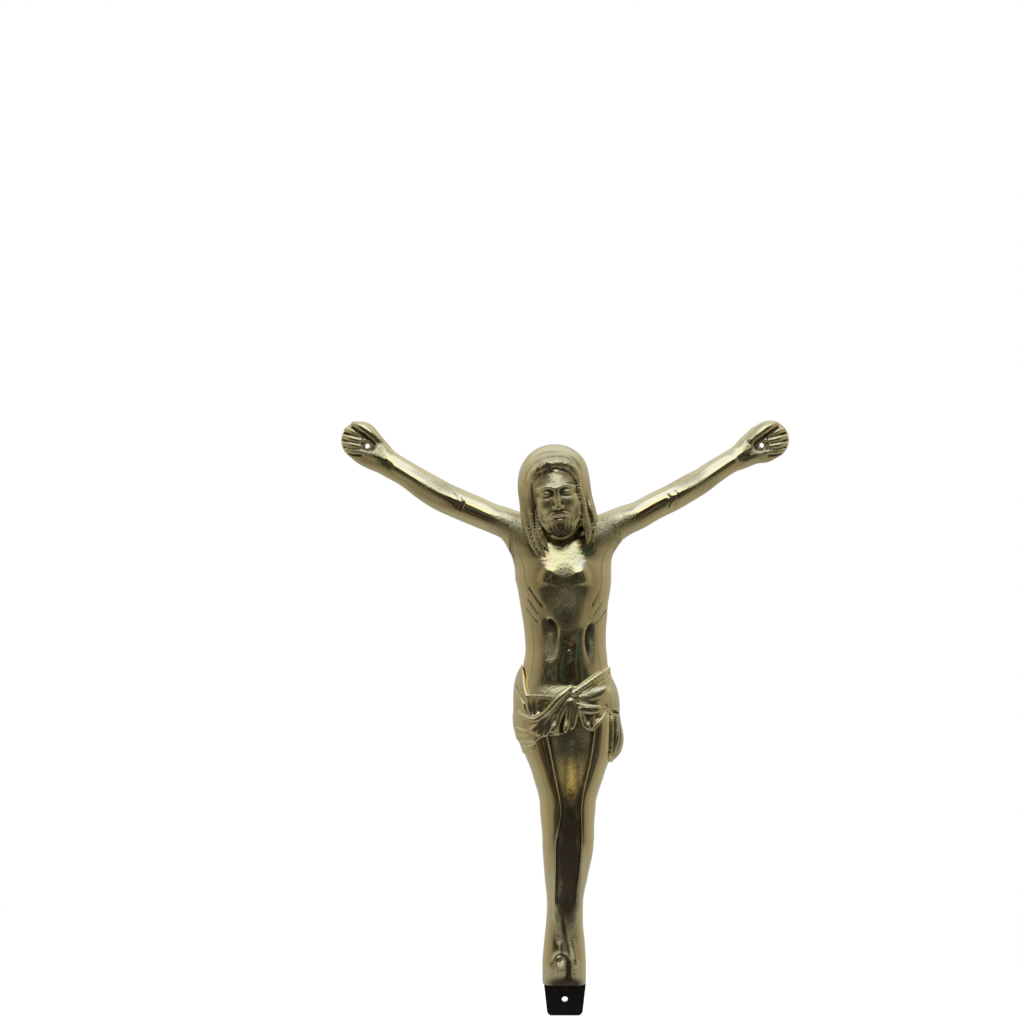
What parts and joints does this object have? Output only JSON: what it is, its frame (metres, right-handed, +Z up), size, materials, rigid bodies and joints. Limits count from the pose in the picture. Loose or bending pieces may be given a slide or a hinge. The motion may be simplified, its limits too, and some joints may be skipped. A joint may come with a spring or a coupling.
{
  "type": "crucifix corpus",
  "caption": "Cast brass figure with raised outspread arms, bearded head and knotted loincloth, drilled at palms and foot tab to be fastened to a cross.",
  "frame": {"origin": "middle of the foot tab's screw hole, on the back plane that lies against the cross", "axes": "+Z up along the figure, -Y out of the front of the figure, +X to the right of someone who faces it"},
  "size_m": [0.2166, 0.0406, 0.2843],
  "materials": {
    "polished_brass": "cast and polished",
    "dark_brass": "dark oxidised, filed edges",
    "drawn_brass": "drawn rod, filed flush"
  },
  "bodies": {
    "root": {"body_casting": "polished_brass", "head_casting": "polished_brass", "left_arm_casting": "polished_brass", "right_arm_casting": "polished_brass", "loincloth_casting": "polished_brass", "foot_tab": "dark_brass", "neck_pin": "drawn_brass", "left_shoulder_pin": "drawn_brass", "right_shoulder_pin": "drawn_brass", "foot_tab_rivets": "drawn_brass"}
  },
  "joints": []
}
